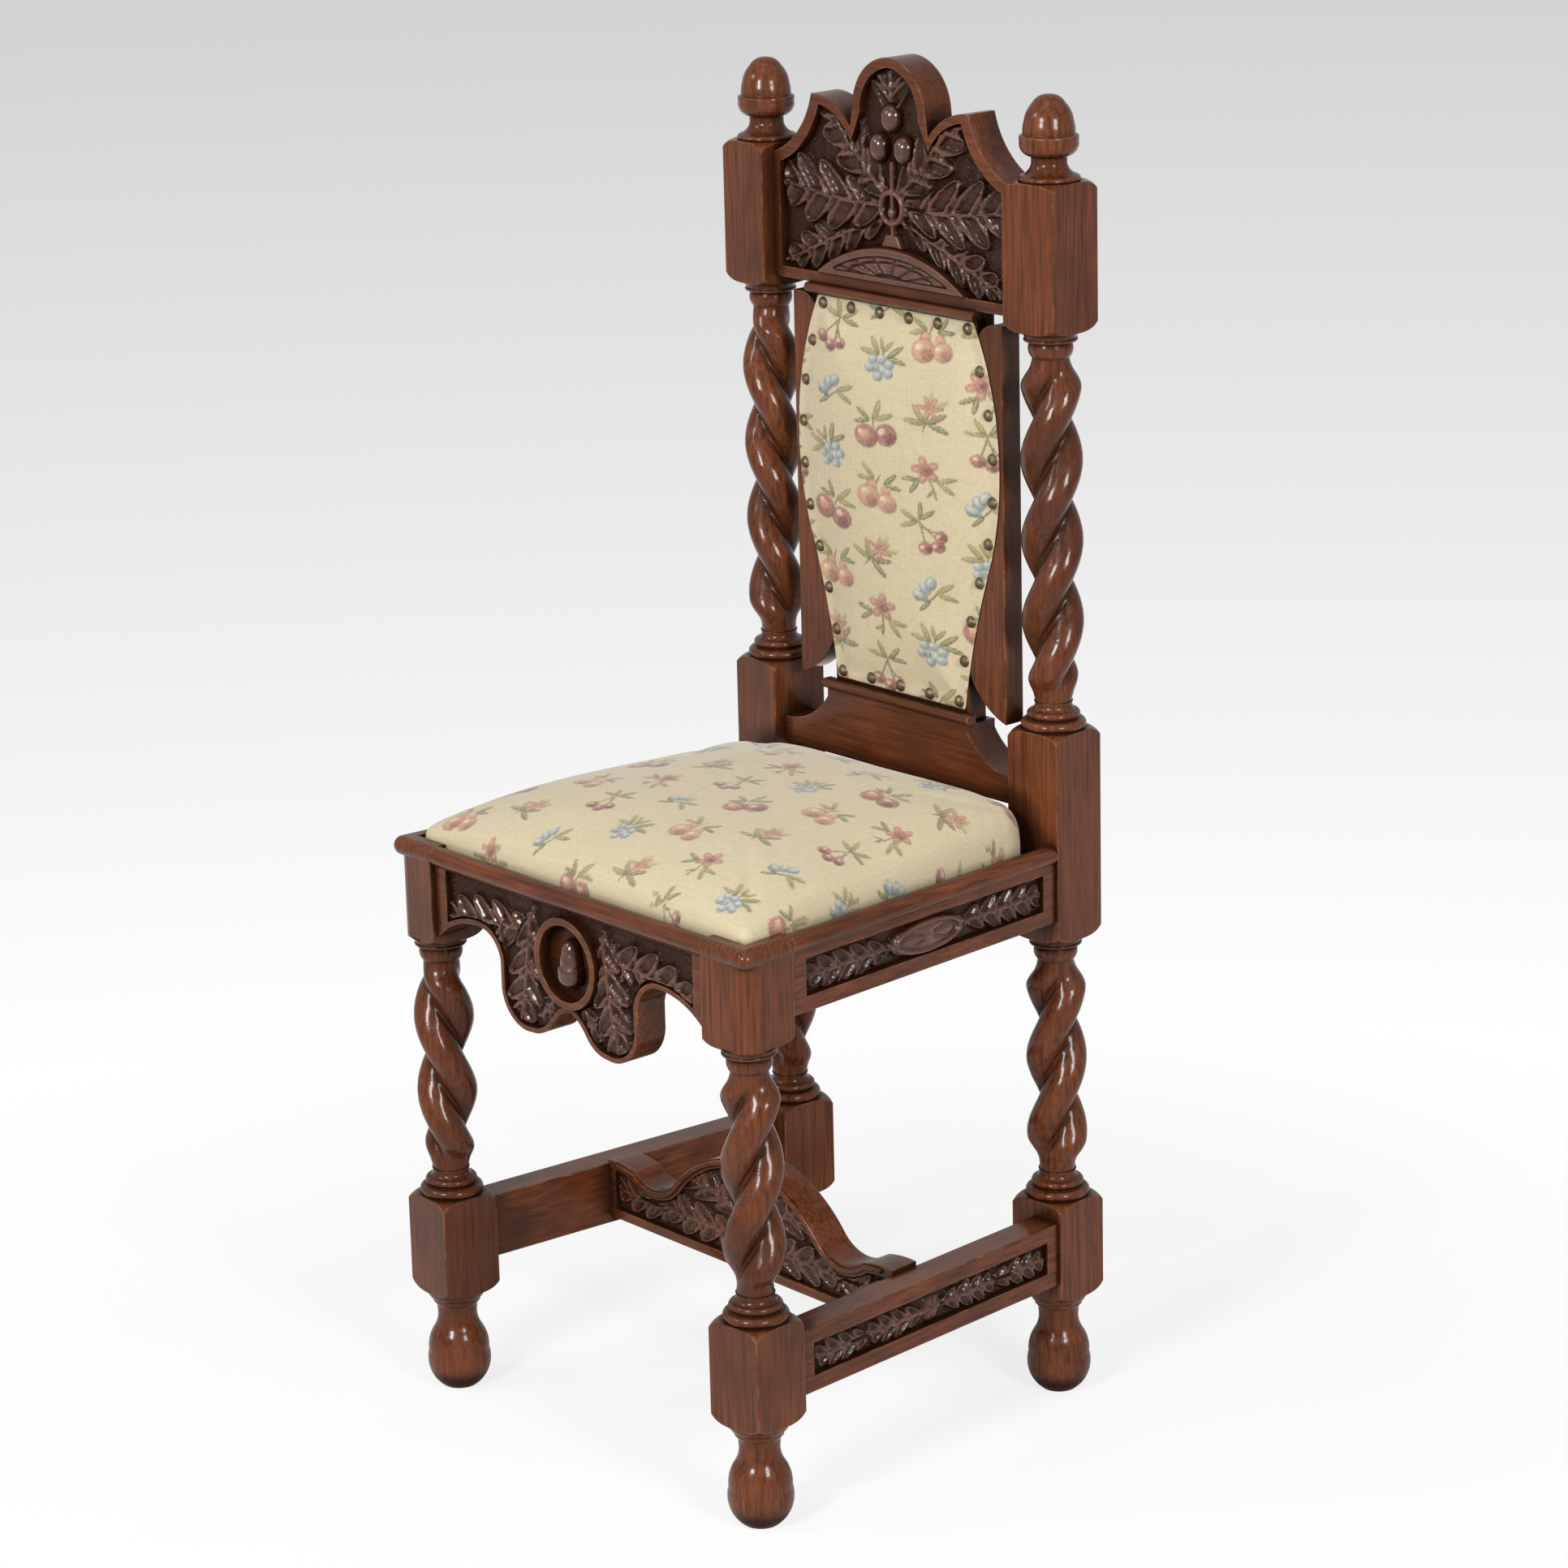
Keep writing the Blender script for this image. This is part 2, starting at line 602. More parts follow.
CROSS_LEAVES = ((86, 134, 0, 80, 32, 1.0, 4, 4), (8, 136, 0, 96, 36, 1.0, 4, 0),
                (8, 154, 32, 70, 36, 1.0, 3, -40))
CROSS_UPRIGHT = ((0, 136, 90, 56, 32, 1.0, 4, 0),)
BERRIES = ((0, 1032), (14, 1008), (-14, 1008))

CREST_HALF, CREST_FOOT, KNOT_LEVEL = 131 * MM, 900 * MM, 961 * MM
LUNETTE_HALF, FAN_HALF = 88 * MM, 86 * MM
APRON_HALF, APRON_TOP = 151 * MM, 458.6 * MM
MEDALLION_LEVEL, MEDALLION_RADIUS = 416 * MM, 36 * MM
CROSS_HALF, CROSS_FOOT = 166.5 * MM, 117.6 * MM
SIDE_MIDDLE, RAIL_LEVEL, STRETCHER_LEVEL = 175 * MM, 439 * MM, 129.5 * MM
OVAL_STRETCH, OVAL_RADIUS = 3.2, 11.2 * MM


def on_front(ground):
    """Placing of a relief on a face that looks to the front, above the ground plane at that y."""
    return lambda u, v, height: np.stack([u, ground - height, v], -1)


def on_side(hand, ground):
    """Placing of a relief on the outer face of a side of the frame, which runs back and inwards from the
    front leg."""
    def place(u, v, height):
        out = ground + height
        x = FRONT_AXIS[0] + out * math.cos(SPLAY) - u * math.sin(SPLAY)
        y = FRONT_AXIS[1] + out * math.sin(SPLAY) + u * math.cos(SPLAY)
        return np.stack([hand * x, y, v], -1)
    return place


def crest_line(inset):
    """Upper line of the crest's sunk field, a given distance inside its outline."""
    i = inset / MM
    return drawn([(164, 989 - i, 0), (91 - i, 1044 - i, -0.18), (45 - i * 0.3, 1021 - 1.4 * i, 0.12),
                  (42 - i, 1038 - i / 2, 0), (0, 1080 - i, 0.2)])


def lunette_line(rise=0.0):
    """Upper line of the half-round at the foot of the crest."""
    r = rise / MM
    return drawn([(88 + r, 900, 0), (0, 929 + r, 0.08)])


def carve_crest_field():
    """Relief between the half-round and the crest's border. On each hand three long leaves and a sprout
    spring from a knot in the middle, a ring about a ball with a stem above it and a stub below, and one
    leaf stands under the arch. The chopped ground shows between them, and all is kept clear of the
    berries."""
    tall = settings().carving.crest_relief
    top, foot = crest_line(8.2 * MM), lunette_line(0.6 * MM)

    def low(u):
        """Lower line of the field: the half-round, and the level on its two hands."""
        out = np.abs(u)
        return np.where(out < LUNETTE_HALF, height_of(foot, np.minimum(out, LUNETTE_HALF)), CREST_FOOT)

    u, v = between(CREST_HALF, low, lambda u: height_of(top, u))
    out, away = np.abs(u), np.hypot(u, v - KNOT_LEVEL)
    leaves = spray(u, v, tall, CREST_LEAVES, CREST_UPRIGHT) * edge_fade(away - 8 * MM, 8 * MM)
    knot = 1.05 * dome((away - 12.5 * MM) / (3.6 * MM))
    ball = 1.12 * dome(np.hypot(u / (5.5 * MM), (v - 957 * MM) / (6.5 * MM)))
    stem = 0.8 * edge_fade(3.2 * MM - out, 1.8 * MM) * edge_fade(1000 * MM - v, 3 * MM)
    tapered = 13 * MM - out - 0.5 * np.maximum(v - 929 * MM, 0)
    stub = 0.95 * edge_fade(tapered, 2 * MM) * edge_fade(941 * MM - v, 2.5 * MM)
    height = np.maximum.reduce([leaves, tall * knot, tall * ball, tall * stem, tall * stub])
    for berry_u, berry_v in BERRIES:
        away = np.hypot(u - berry_u * MM, (v - berry_v * MM) / 1.25)
        height = height * edge_fade(away - 8 * MM, 2.5 * MM)
    height = on_ground(u, v, height, 0.03 * tall)
    rim = np.minimum(height_of(top, u) - v, CREST_HALF - out)
    height = height * edge_fade(rim, 2.5 * MM)
    return relief_piece("crest_carving", u, v, height, on_front(CREST_GROUND), -1.5 * MM)


def carve_lunette():
    """Shell on the half-round, sunk inside a broad plain border: rays whose height is a root of the cosine
    of the ray number times the angle, cut short by a second row of scallops, about a half-round boss at its
    foot."""
    line, foot = lunette_line(-0.4 * MM), CREST_FOOT + 0.4 * MM
    u, v = between(FAN_HALF, lambda u: foot, lambda u: height_of(line, u), 0.6)
    far = np.hypot(u * 0.33, v - foot)
    angle = np.arctan2((v - foot) * 3.0, u)
    rays = np.abs(np.cos(angle * 7.5)) ** 0.55
    scallop = edge_fade(np.abs(far - (15.5 + 1.6 * rays) * MM), 1.3 * MM)
    height = 1.9 * MM * rays * scallop * edge_fade(far - 6.8 * MM, 1.6 * MM)
    height = np.maximum(height, 2.4 * MM * dome(far / (5.6 * MM)))
    rim = np.minimum.reduce([height_of(line, u) - v, 0.34 * (FAN_HALF - np.abs(u)), 1.5 * (v - foot)])
    border = 2.3 * MM * edge_fade(7.2 * MM - rim, 1.0 * MM) * edge_fade(rim + 0.4 * MM, 1.2 * MM)
    height = np.maximum(height * edge_fade(rim - 6.8 * MM, 1.4 * MM), border)
    return relief_piece("lunette_carving", u, v, height, on_front(CREST_FACE), -1.2 * MM)


def apron_line(inset):
    """Lower line of the apron's sunk field, a given distance inside its outline."""
    i = inset / MM
    return drawn([(0, 377 + i, 0), (21, 360.5 + i, -0.08), (47, 348 + i, 0.12), (84 - i, 377 + i / 2, 0.22),
                  (84 - i, 398 + i, 0), (113, 421 + i, -0.2), (165.6, 399 + i, -0.1)])


def carve_apron():
    """Relief of the front rail: a long leaf to each hand from the medallion, a broad one down each pendant
    and a small one under the ring; the ground dips under the ring and its well."""
    tall = settings().carving.rail_relief * 1.2
    line = apron_line(4.4 * MM)
    u, v = between(APRON_HALF, lambda u: height_of(line, u), lambda u: APRON_TOP)
    height = on_ground(u, v, spray(u, v, tall, APRON_LEAVES), 0.03 * tall)
    away = np.hypot(u, v - MEDALLION_LEVEL)
    rim = np.minimum.reduce([v - height_of(line, u), APRON_TOP - v, APRON_HALF - np.abs(u)])
    height = height * edge_fade(rim, 2.0 * MM) * edge_fade(away - MEDALLION_RADIUS + MM, 4 * MM)
    well = -4.6 * MM * edge_fade(MEDALLION_RADIUS - away, 2 * MM)
    height = np.where(away < MEDALLION_RADIUS, well, height)
    return relief_piece("apron_carving", u, v, height, on_front(APRON_GROUND), -6.0 * MM)


def side_grid(ends, levels):
    """Grid over the sunk field of a side of the frame, in millimetres from the front leg's axis and from
    the floor."""
    step = settings().carving.grid_step
    return np.meshgrid(spaced(ends[0] * MM, ends[1] * MM, step), spaced(levels[0] * MM, levels[1] * MM, step))


def carve_side_rail(hand, name):
    """Relief of a side seat rail: a leaf on each hand of an oval ring that holds a four-petalled flower."""
    u, v = side_grid((40.6, 309.4), (424.6, 453.4))
    tall = settings().carving.rail_relief
    height = spray(u, v, tall, RAIL_LEAVES, (), SIDE_MIDDLE)
    du, dv = u - SIDE_MIDDLE, v - RAIL_LEVEL
    oval = np.hypot(du / OVAL_STRETCH, dv)
    steep = np.hypot(du / OVAL_STRETCH ** 2, dv) / np.maximum(oval, 0.1 * MM)
    ring = tall * dome((oval - OVAL_RADIUS) / np.maximum(steep, 0.2) / (2.1 * MM))
    turn = np.abs(np.cos(2 * np.arctan2(dv * OVAL_STRETCH, du)))
    flower = tall * np.clip(1 - oval / (9.2 * MM), 0, 1) ** 0.4 * turn ** 0.8
    flower = np.maximum(flower, tall * dome(oval / (2.6 * MM)))
    height = np.maximum(np.where(oval < OVAL_RADIUS, flower, height), ring)
    height = on_ground(u, v, height, 0.02 * tall) * edge_fade(from_rim(u, v), 1.8 * MM)
    raised = oval < OVAL_RADIUS + 2.2 * MM
    lifted = np.maximum(height, 0) * np.where(raised, 0.65, 1) + np.where(raised, 4.15 * MM, 0)
    return relief_piece(name, u, v, lifted, on_side(hand, SIDE_GROUND), -1.2 * MM, hand < 0)


def carve_side_stretcher(hand, name):
    """Relief of a side stretcher: leaves in two runs that meet at a round flower in the middle."""
    u, v = side_grid((39.6, 310.4), (116.6, 142.4))
    tall = settings().carving.rail_relief
    du, dv = u - SIDE_MIDDLE, v - STRETCHER_LEVEL
    rays = 0.6 + 0.4 * np.abs(np.cos(3 * np.arctan2(dv, du)))
    flower = tall * np.clip(1 - np.hypot(du, dv) / (12 * MM), 0, 1) ** 0.45 * rays
    height = np.maximum(spray(u, v, tall, STRETCHER_LEAVES, (), SIDE_MIDDLE), flower)
    height = on_ground(u, v, height, 0.02 * tall) * edge_fade(from_rim(u, v), 1.8 * MM)
    return relief_piece(name, u, v, height, on_side(hand, SIDE_GROUND), -1.2 * MM, hand < 0)


def cross_line(inset):
    """Serpentine top line of the cross stretcher, a given distance inside its outline."""
    i = inset / MM
    return drawn([(190, 157 - i, 0), (142, 157 - i, 0.06), (90, 160 - i, -0.2), (0, 204 - i, 0.11)])


def carve_cross_stretcher():
    """Relief of the cross stretcher: leaves that run from the middle to the ends and over the hump, and an
    upright one between them."""
    tall = settings().carving.rail_relief * 0.9
    line = cross_line(8.6 * MM)
    u, v = between(CROSS_HALF, lambda u: CROSS_FOOT, lambda u: height_of(line, u))
    height = on_ground(u, v, spray(u, v, tall, CROSS_LEAVES, CROSS_UPRIGHT), 0.02 * tall)
    rim = np.minimum.reduce([v - CROSS_FOOT, height_of(line, u) - v, CROSS_HALF - np.abs(u)])
    height = height * edge_fade(rim, 2.0 * MM)
    return relief_piece("cross_stretcher_carving", u, v, height, on_front(CROSS_GROUND), -1.2 * MM)


# Sprigs of the cloth

ROSE, WINE = (0.34, 0.135, 0.12), (0.16, 0.05, 0.045)
CLAY, PEACH = (0.29, 0.12, 0.075), (0.5, 0.29, 0.175)
OLIVE, MOSS = (0.2, 0.175, 0.065), (0.1, 0.1, 0.045)
SLATE, MIST = (0.17, 0.22, 0.24), (0.36, 0.41, 0.4)
STEM, FERN, CREAM = (0.15, 0.1, 0.05), (0.37, 0.33, 0.14), (0.6, 0.5, 0.35)

SPRIG_REACH = 34
STAR_TURNS = (0.3, 1.2, 2.1, 3.2, 4.4, 5.4)


def leaf_pair(u, v, turn, long, colour):
    """Two slim leaves that spread from a point, each with a lighter half."""
    forms = []
    for way in (turn + 26, turn - 26):
        t = math.radians(way)
        mid_u, mid_v = u + math.cos(t) * long, v + math.sin(t) * long
        forms += [(mid_u, mid_v, long * 1.05, long * 0.3, way, colour),
                  (mid_u, mid_v + 0.5, long * 0.8, long * 0.1, way, FERN)]
    return forms


def fruit(u, v, radius, turn, colour, blush):
    """Round fruit: an outline, its flesh, a blush on one cheek and a pale spot."""
    return [(u, v, radius * 1.06, radius, turn, WINE if colour is ROSE else CLAY),
            (u, v, radius * 0.94, radius * 0.88, turn, colour),
            (u + radius * 0.3, v - radius * 0.3, radius * 0.55, radius * 0.5, turn, blush),
            (u - radius * 0.35, v + radius * 0.3, radius * 0.36, radius * 0.26, turn, CREAM)]


def petals(u, v, turns, far, long, wide, colour):
    """Petals that point away from a middle."""
    return [(u + far * math.cos(t), v + far * math.sin(t), long, wide, math.degrees(t), colour)
            for t in turns]


def blossom(u, v, count, radius, colour, heart):
    """Flower of round petals about a heart, each with a paler middle."""
    turns = np.arange(count) * 2 * math.pi / count + 0.4
    return [*petals(u, v, turns, radius, radius * 0.85, radius * 0.55, colour),
            *petals(u, v, turns, radius * 1.1, radius * 0.4, radius * 0.24, PEACH),
            (u, v, radius * 0.5, radius * 0.5, 0, heart)]


def grape(u, v):
    """Round grape with a bloom and a pale spot."""
    return [(u, v, 4.2, 4, 0, SLATE), (u - 0.6, v + 0.6, 3, 2.8, 0, MIST),
            (u - 1.2, v + 1.2, 1.1, 0.9, 0, CREAM)]


def bell(u, v, turn):
    """Hanging bell flower with a paler side."""
    return [(u, v, 6, 4.4, turn, SLATE), (u - 0.8, v + 0.6, 4.6, 2.6, turn, MIST),
            (u - 1.4, v + 1, 2.4, 1, turn, CREAM)]


def sprig_forms():
    """Sprigs in millimetres about their own middle, each a list of soft ellipses (u, v, half length, half
    width, turn, colour): pears, a spray of cherries, a pair of apples, a rose, a bunch of grapes, a star
    flower and a bluebell."""
    pears = [(-2, 9, 9, 0.8, 70, STEM), *leaf_pair(-4, 12, 165, 7.5, OLIVE), *leaf_pair(5, 10, 25, 7, MOSS),
             (-5.5, 5, 6, 5, 75, CLAY), (-5, 4.6, 5.4, 4.2, 75, PEACH), *fruit(-7, -4, 9.5, 10, PEACH, CLAY),
             (7, 3.5, 5.2, 4.2, 110, CLAY), (7, 3.2, 4.6, 3.5, 110, PEACH),
             *fruit(9, -5, 8, -10, PEACH, ROSE)]
    cherries = [(-2, 3, 14, 0.7, 75, STEM), (3, 3, 13, 0.7, 110, STEM), (6, 1, 12, 0.7, 135, STEM),
                *leaf_pair(-1, 12, 150, 7.5, OLIVE), *leaf_pair(2, 13, 35, 7, MOSS),
                *fruit(-6, -9, 5.4, 0, ROSE, WINE), *fruit(4, -11, 5.2, 0, ROSE, WINE),
                *fruit(10, -5, 5, 0, ROSE, WINE)]
    apples = [(0, 8, 6, 0.8, 90, STEM), *leaf_pair(1, 9, 40, 8.5, OLIVE), *leaf_pair(-3, 9, 160, 7, MOSS),
              *fruit(9.5, -3, 9, 20, ROSE, WINE), *fruit(-8, -4, 9.6, -20, ROSE, CLAY),
              (-9, -3, 4.6, 4, 20, PEACH)]
    rose = [(2, -9, 9, 0.8, 100, STEM), *leaf_pair(-7, -4, 200, 7, MOSS), *leaf_pair(7, -7, -20, 7.5, OLIVE),
            *leaf_pair(2, -13, 250, 4, MOSS), *blossom(0, 3, 5, 6.4, ROSE, WINE), (0, 3, 5.6, 5.2, 0, CLAY),
            (-0.8, 3.6, 3.8, 3.2, 30, ROSE), (0.4, 2.8, 1.9, 1.6, 0, WINE)]
    grapes = [(0, 11, 9, 0.8, 80, STEM), *leaf_pair(-3, 9, 155, 8, OLIVE), *leaf_pair(4, 9, 25, 8, MOSS),
              *leaf_pair(0, 12, 90, 6, OLIVE)]
    for place in ((-7, 4), (0, 6), (7, 4), (-4, -2), (4, -2), (0, -8), (-8, -3), (8, -3)):
        grapes += grape(*place)
    star = [(-1, -7, 11, 0.8, 80, STEM), *leaf_pair(-2, -10, 160, 8.5, OLIVE),
            *leaf_pair(0, -9, 15, 8.5, MOSS), *leaf_pair(1, 2, 70, 8, FERN),
            *petals(0, 3, STAR_TURNS, 4.6, 6.6, 2.2, ROSE),
            *petals(0, 3, STAR_TURNS, 5.4, 4.4, 0.9, PEACH)]
    bells = [(2, 0, 13, 0.8, 60, STEM), *leaf_pair(4, 4, 20, 8, OLIVE), *leaf_pair(0, -4, 210, 6, MOSS),
             *bell(-5, 6, 120), *bell(-1, 11, 80), *bell(-8, -1, 170)]
    return [pears, cherries, apples, rose, grapes, star, bells]


def sprig_colours(u, v, first, pitch, stretch=1.0):
    """Colour of the cloth at each point: the ground, then sprigs in half-drop rows at the pitch in
    millimetres, each turned by a seeded angle and drawn wider by the stretch. An ellipse covers a point by
    the smooth step of its squared distance, lighter towards the upper left."""
    u, v = u / MM, v / MM
    colours = np.tile(np.array(settings().upholstery.cloth), (len(u), 1))
    sprigs, turns = sprig_forms(), np.random.default_rng(11)
    for column in range(-6, 7):
        for row in range(-8, 9):
            kind = sprigs[(3 * column + 2 * row + first) % len(sprigs)]
            cu = column * pitch[0] + turns.uniform(-3, 3)
            cv = row * pitch[1] + (pitch[1] / 2 if column % 2 else 0) + turns.uniform(-3, 3)
            angle = math.radians(turns.uniform(-35, 35))
            near = (np.abs(u - cu) < SPRIG_REACH * stretch) & (np.abs(v - cv) < SPRIG_REACH)
            if not near.any():
                continue
            on_u, on_v = turned((u[near] - cu) / stretch, v[near] - cv, angle)
            patch = colours[near]
            for eu, ev, long, wide, turn, colour in kind:
                du, dv = on_u - eu, on_v - ev
                along, across = turned(du, dv, math.radians(turn))
                cover = edge_fade(1.2 - (along / long) ** 2 - (across / wide) ** 2, 0.4)[:, None] * 0.86
                shade = np.clip(0.95 + 0.22 * (dv - du) / max(long, 3), 0.7, 1.35)[:, None]
                patch = patch * (1 - cover) + np.array(colour) * shade * cover
            colours[near] = patch
    return colours


# Padded pieces


def resampled(line, count):
    """Points of a line, evenly spaced along it."""
    run = np.concatenate([[0], np.cumsum(np.hypot(*np.diff(line, axis=0).T))])
    at = np.linspace(0, run[-1], count)
    return np.column_stack([np.interp(at, run, line[:, 0]), np.interp(at, run, line[:, 1])])


def patch_grid(bottom, right, top, left):
    """Grid inside four edge lines: the sum of the two ruled surfaces less the flat one through the corners.
    The top and bottom run the same way, and so do the right and left."""
    s, t = np.linspace(0, 1, len(bottom))[None, :, None], np.linspace(0, 1, len(right))[:, None, None]
    ruled = (1 - t) * bottom[None] + t * top[None] + (1 - s) * left[:, None] + s * right[:, None]
    flat = (1 - s) * (1 - t) * bottom[0] + s * (1 - t) * bottom[-1] + (1 - s) * t * top[0] + s * t * top[-1]
    return ruled - flat


def seat_edges(inset, count):
    """Edges of the seat's rounded trapezoid, a given distance inside the cover: front, right, rear and
    left, each from the middle of one rounded corner to the middle of the next."""
    out = 8.5 * MM - inset
    front, rear = -183.0 * MM + inset, 143.6 * MM - inset
    wide, narrow = (FRONT_AXIS[0] + (out - (y - FRONT_AXIS[1]) * math.sin(SPLAY)) / math.cos(SPLAY)
                    for y in (front, rear))
    corners = np.array([(-wide, front), (wide, front), (narrow, rear), (-narrow, rear)])
    radii = np.repeat([max(8.2 * MM - inset, MM), max(35 * MM - inset, 2 * MM)], 2)
    arcs = []
    for k in range(4):
        back = corners[k - 1] - corners[k]
        ahead = corners[(k + 1) % 4] - corners[k]
        back, ahead = back / np.hypot(*back), ahead / np.hypot(*ahead)
        half = math.acos(np.dot(back, ahead)) / 2
        middle = corners[k] + (back + ahead) / np.hypot(*(back + ahead)) * radii[k] / math.sin(half)
        away = corners[k] + back * radii[k] / math.tan(half) - middle
        start = math.atan2(away[1], away[0])
        angle = start + np.linspace(0, 1, 17) * (math.pi - 2 * half)
        arcs.append(middle + radii[k] * np.column_stack([np.cos(angle), np.sin(angle)]))
    edges = [resampled(np.concatenate([arcs[k][8:], arcs[(k + 1) % 4][:9]]), count) for k in range(4)]
    return edges[0], edges[1], edges[2][::-1], edges[3][::-1]


def rim_loop(edges):
    """The four edges as one closed loop, in the order of a grid's rim."""
    bottom, right, top, left = edges
    return np.concatenate([bottom[:-1], right[:-1], top[:0:-1], left[:0:-1]])


# Stiff, light cloth under a gentle pressure
SWELLING = {"quality": 6, "mass": 0.3, "tension_stiffness": 12, "compression_stiffness": 12,
            "shear_stiffness": 6, "bending_stiffness": 0.6, "use_pressure": True,
            "uniform_pressure_force": 4.0}
SWELL_FRAMES = 20


def swell(piece, held, limit):
    """Blows a padded piece up as cloth under pressure, its held points pinned, and keeps the settled shape
    with no point moved further than the limit."""
    rest = points_of(piece.data)
    pins = piece.vertex_groups.new(name="held")
    pins.add(np.flatnonzero(held).tolist(), 1.0, "REPLACE")
    cloth = piece.modifiers.new("swelling", "CLOTH")
    for key, value in SWELLING.items():
        setattr(cloth.settings, key, value)
    cloth.settings.vertex_group_mass = pins.name
    cloth.settings.effector_weights.gravity = 0.0
    cloth.collision_settings.use_collision = False
    cloth.point_cache.frame_start, cloth.point_cache.frame_end = 1, SWELL_FRAMES
    scene = bpy.context.scene
    for number in range(1, SWELL_FRAMES + 1):
        scene.frame_set(number)
    moved = points_of(piece.evaluated_get(bpy.context.evaluated_depsgraph_get()).data)
    piece.modifiers.remove(cloth)
    piece.vertex_groups.remove(pins)
    scene.frame_set(1)
    step = moved - rest
    far = np.linalg.norm(step, axis=1, keepdims=True)
    step *= np.minimum(1, limit / np.maximum(far, 1e-9))
    move_points(piece, rest + step)


def refined(piece, levels):
    """Smooth subdivision, applied, and the points of the result."""
    finer = piece.modifiers.new("finer", "SUBSURF")
    finer.levels = finer.render_levels = levels
    finer.boundary_smooth = "PRESERVE_CORNERS"
    done = bpy.data.meshes.new_from_object(piece.evaluated_get(bpy.context.evaluated_depsgraph_get()))
    piece.modifiers.clear()
    old, piece.data = piece.data, done
    done.name = piece.name
    bpy.data.meshes.remove(old)
    return points_of(done)


def close_opening(piece):
    """Closes the one opening of a piece with a flat face."""
    shape = bmesh.new()
    shape.from_mesh(piece.data)
    bmesh.ops.holes_fill(shape, edges=[edge for edge in shape.edges if edge.is_boundary])
    bmesh.ops.recalc_face_normals(shape, faces=shape.faces)
    shape.to_mesh(piece.data)
    shape.free()


def lay_cloth(piece, count, rim, walls, edge_top):
    """Marks each point with its place on the flat cloth: the length along its row and its column from the
    middle of the crown, and on the walls the drop from the edge, straight out."""
    crown = points_of(piece.data)[:count * count].reshape(count, count, 3)
    middle = count // 2
    across, along = np.zeros((count, count)), np.zeros((count, count))
    across[:, 1:] = np.cumsum(np.linalg.norm(np.diff(crown, axis=1), axis=2), axis=1)
    along[1:] = np.cumsum(np.linalg.norm(np.diff(crown, axis=0), axis=2), axis=0)
    across -= across[:, middle:middle + 1]
    along -= along[middle:middle + 1]
    loop = walls[0][:, :2]
    ahead = np.roll(loop, -1, axis=0) - np.roll(loop, 1, axis=0)
    ahead /= np.linalg.norm(ahead, axis=1, keepdims=True)
    drops = [edge_top - wall[:, 2] for wall in walls]
    for name, lengths, outward in (("cloth_across", across.ravel(), ahead[:, 1]),
                                   ("cloth_along", along.ravel(), -ahead[:, 0])):
        hanging = [lengths[rim] + outward * drop for drop in drops]
        point_values(piece, name, np.concatenate([lengths, *hanging]))


# Loops down the cushion's side, under the frame and back up inside: distance inside the cover and height, mm
SEAT_WALLS = ((0.0, 472.0), (0.0, 464.0), (0.0, 457.0), (0.6, 455.4), (2.0, 455.1), (21.0, 455.1),
              (21.8, 455.6), (21.0, 456.05), (1.35, 456.05), (1.3, 458.0), (1.3, 478.0), (3.0, 480.1),
              (20.0, 480.1))


def pad_seat_cushion():
    """Seat of the drop-in frame: a crowned top over its rounded plan, sides that turn under the frame and a
    flat underside over the base cloth. The crown is the product of two rounds, (1 - |a| to a power) to a
    power: one across, and one along that falls gently to the front and keeps full to the rear."""
    soft = settings().upholstery
    count = 73
    edges = seat_edges(0.0, count)
    plan = patch_grid(*edges)
    a = np.linspace(-1, 1, count)
    rear = edge_fade(a + 0.2, 1.0)[:, None]
    fullness = 4.2 + 4.5 * rear * edge_fade(a + 0.6, 0.8)[None, :]
    across = (1 - np.abs(a)[None, :] ** fullness) ** 0.5 * (1 + 0.05 * rear * a[None, :])
    along = np.where(a < 0, (1 - np.abs(a) ** 3) ** 0.5, (1 - np.abs(a) ** 10) ** 0.45)
    edge_top = 478.5 * MM
    top = np.dstack([plan, edge_top + soft.seat_crown * along[:, None] * across])
    rim = grid_rim(count, count)
    walls = [np.column_stack([rim_loop(seat_edges(inset * MM, count)), np.full(len(rim), z * MM)])
             for inset, z in SEAT_WALLS]
    below = count * count + np.arange(len(walls) * len(rim)).reshape(len(walls), -1)
    rings = np.concatenate([rim[None], below])
    after = np.roll(rings, -1, axis=1)
    sides = np.stack([rings[:-1], rings[1:], after[1:], after[:-1]], -1).reshape(-1, 4)
    points = np.concatenate([top.reshape(-1, 3), *walls])
    piece = make_piece("seat_cushion", points, np.concatenate([grid_faces(count, count), sides]))
    held = np.ones(len(points), bool)
    free = (np.abs(a)[:, None] < 0.97) & (np.abs(a)[None, :] < 0.97)
    held[:count * count] = ~free.ravel()
    swell(piece, held, soft.swell_limit)
    lay_cloth(piece, count, rim, walls, edge_top)
    refined(piece, 2)
    close_opening(piece)
    run = [point_numbers(piece, name) for name in ("cloth_across", "cloth_along")]
    point_values(piece, "sprig", sprig_colours(*run, 1, (53, 60)))
    return piece


PANEL_BACK = BOARD_FACE - 0.05 * MM
DIP_LIMIT = BOARD_FACE - 0.6 * MM
PANEL_HALF_HEIGHT = 159 * MM


def panel_edges(inset, count):
    """Edges of the back panel, a given distance inside its outline: bottom, right, top and left."""
    i = inset / MM
    line = drawn([(76 - i, 563 + i, 0), (108 - i, 690, -0.025), (91 - i, 881 - i, 0.094)], 40)
    right = resampled(line, count)
    left = right * (-1, 1)
    bottom, top = (resampled(np.array([left[end], right[end]]), count) for end in (0, -1))
    return bottom, right, top, left


